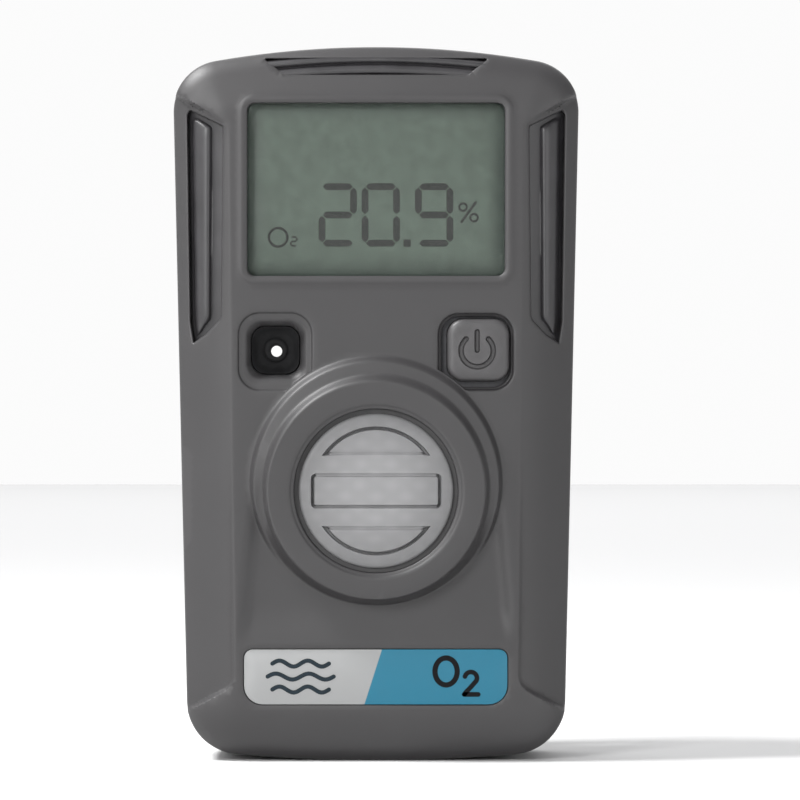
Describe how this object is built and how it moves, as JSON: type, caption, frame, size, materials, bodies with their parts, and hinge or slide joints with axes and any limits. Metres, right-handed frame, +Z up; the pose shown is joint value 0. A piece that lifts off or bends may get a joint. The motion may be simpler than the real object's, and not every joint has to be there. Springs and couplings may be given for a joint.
{
  "type": "portable gas detector",
  "caption": "Clip-on single-gas detector: a grey moulded case with a display, a power key, a sounder port, a round sensor boss, smoked alarm bars and a sprung belt clip.",
  "frame": {"origin": "middle of the footprint, on the surface that the case stands on", "axes": "+Z up, towards the top alarm bar; the display looks along -Y and the clip is on the +Y side; +X is to the viewer's right"},
  "size_m": [0.0522, 0.034, 0.0913],
  "materials": {
    "case_plastic": "fine moulded texture, dark grey",
    "rear_plastic": "fine moulded texture, dark grey",
    "smoked_plastic": "polished smoked light guide",
    "clear_plastic": "polished clear cover",
    "display_glass": "grey-green liquid crystal cell",
    "foil": "white reflector film",
    "black_rubber": "moulded black rubber",
    "silicone": "dark grey silicone",
    "filter_plastic": "light grey moulded",
    "membrane": "white woven breathable membrane",
    "board": "green solder-masked laminate",
    "chip": "black moulded component",
    "lamp": "ceramic-white LED chip",
    "steel": "plated steel",
    "nickel": "nickel strip",
    "gold": "gilt contact",
    "sensor_plastic": "off-white moulded sensor body",
    "cell_sleeve": "shrink-sleeved lithium cell",
    "foam": "closed-cell foam",
    "label_film": "printed two-colour film",
    "rear_label_film": "blank grey film",
    "black_steel": "black coated spring steel"
  },
  "bodies": {
    "case": {"front_housing": "case_plastic", "rear_housing": "rear_plastic", "housing_gasket": "black_rubber", "housing_screw_1": "steel", "housing_screw_2": "steel", "housing_screw_3": "steel", "housing_screw_4": "steel", "display_window": "clear_plastic", "display_glass": "display_glass", "display_reflector": "foil", "contact_strip_upper": "silicone", "contact_strip_lower": "silicone", "light_bar_right": "smoked_plastic", "light_bar_left": "smoked_plastic", "light_bar_top": "smoked_plastic", "alarm_lamp_right": "lamp", "alarm_lamp_left": "lamp", "alarm_lamp_top": "lamp", "sounder": "chip", "sounder_grommet": "black_rubber", "sounder_membrane": "membrane", "button_seal": "silicone", "switch_body": "chip", "display_board": "board", "sensor_board": "board", "board_header": "chip", "board_socket": "chip", "microcontroller": "chip", "battery_cell": "cell_sleeve", "battery_tab_positive": "nickel", "battery_tab_negative": "nickel", "battery_pad": "foam", "filter_frame": "filter_plastic", "filter_membrane": "membrane", "sensor_gasket": "black_rubber", "gas_sensor": "sensor_plastic", "sensor_socket_1": "gold", "sensor_socket_2": "gold", "sensor_socket_3": "gold", "vibration_motor": "steel", "motor_saddle": "black_rubber", "front_label": "label_film", "rear_label": "rear_label_film", "clip_base": "black_steel", "clip_pin": "steel", "clip_spring": "steel", "clip_screw": "steel"},
    "button": {"power_button": "case_plastic"},
    "switch": {"switch_plunger": "nickel"},
    "clip_lever": {"clip_jaw": "black_steel"},
    "rotor": {"motor_weight": "steel"}
  },
  "joints": [
    {"name": "button_press", "type": "slide", "parent": "case", "child": "button", "axis": [0, 1, 0], "range_m": [0, 0.0005], "stiffness_N_per_m": 3000, "springref_m": -0.0002},
    {"name": "switch_press", "type": "slide", "parent": "case", "child": "switch", "axis": [0, 1, 0], "range_m": [0, 0.0005]},
    {"name": "clip_open", "type": "hinge", "parent": "case", "child": "clip_lever", "pos_m": [0, 0.01285, 0.068], "axis": [1, 0, 0], "range_deg": [0, 18], "stiffness_Nm_per_rad": 0.4, "springref_deg": -22.92, "deforming": ["clip_spring"]},
    {"name": "motor_spin", "type": "hinge", "parent": "case", "child": "rotor", "pos_m": [0, 0, 0.0145], "axis": [1, 0, 0], "continuous": true}
  ],
  "couplings": [
    {"joint": "switch_press", "follows": "button_press", "ratio": 1}
  ]
}
